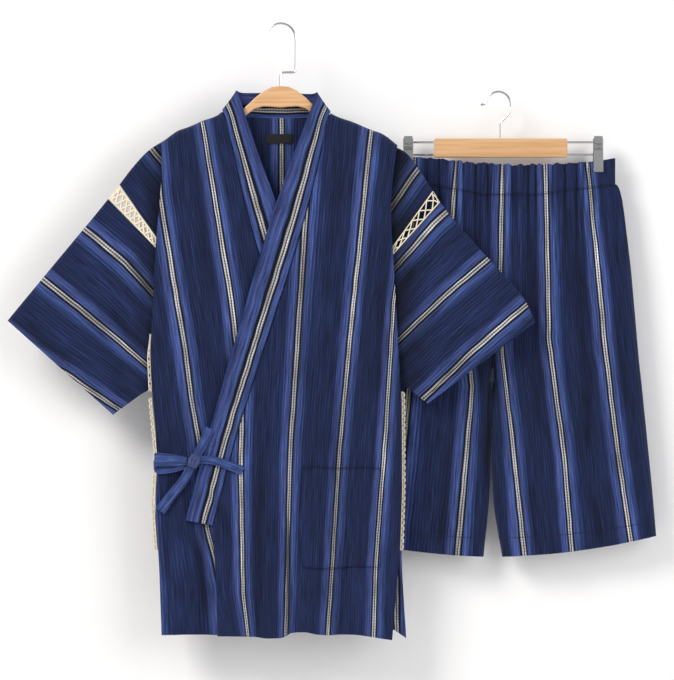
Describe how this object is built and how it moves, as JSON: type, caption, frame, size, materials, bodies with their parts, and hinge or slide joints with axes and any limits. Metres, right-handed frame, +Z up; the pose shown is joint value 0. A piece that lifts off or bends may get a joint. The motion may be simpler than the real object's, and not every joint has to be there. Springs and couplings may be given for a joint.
{
  "type": "jinbei set on coat hanger and clip hanger",
  "caption": "Striped cotton wrap jacket with lace-joined short sleeves and a side bow, on a wooden coat hanger, with its shorts on a clip hanger behind.",
  "frame": {"origin": "crown of the coat hanger's hook, where a rail holds the set up", "axes": "+Z up, -Y the side that the wearer's front faces, +X to the right seen from the front"},
  "size_m": [0.9674, 0.106, 0.918],
  "materials": {
    "indigo_stripe": "ribbed cotton with broken indigo, black and white stripes, dry and matt",
    "indigo_tape": "bright indigo ribbed cotton, folded and top stitched",
    "cream_lace": "cream twine lace, two cords with a crossed net between them",
    "black_label": "plain woven black, no text",
    "beech": "satin varnished beech",
    "steel_wire": "polished plated steel"
  },
  "bodies": {
    "root": {"front_over": "indigo_stripe", "front_under": "indigo_stripe", "back_panel": "indigo_stripe", "collar_band": "indigo_stripe", "pocket": "indigo_stripe", "neck_label": "black_label", "shoulder_fall_left": "indigo_stripe", "shoulder_fall_right": "indigo_stripe", "sleeve_lace_left": "cream_lace", "sleeve_lace_right": "cream_lace", "sleeve_left": "indigo_stripe", "sleeve_right": "indigo_stripe", "armhole_lace_left": "cream_lace", "side_lace_left": "cream_lace", "side_lace_right": "cream_lace", "tie_knot": "indigo_tape", "tie_loop_left": "indigo_tape", "tie_strap_collar": "indigo_tape", "tie_strap_side": "indigo_tape", "tie_end_low": "indigo_tape", "tie_end_right": "indigo_tape", "waistband": "indigo_stripe", "leg_left": "indigo_stripe", "leg_right": "indigo_stripe", "coat_hanger_wood": "beech", "coat_hanger_hook": "steel_wire", "clip_hanger_bar": "beech", "clip_hanger_hook": "steel_wire", "clip_left": "steel_wire", "clip_right": "steel_wire", "clip_wire_left_upper": "steel_wire", "clip_wire_left_lower": "steel_wire", "clip_wire_right_upper": "steel_wire", "clip_wire_right_lower": "steel_wire"}
  },
  "joints": []
}
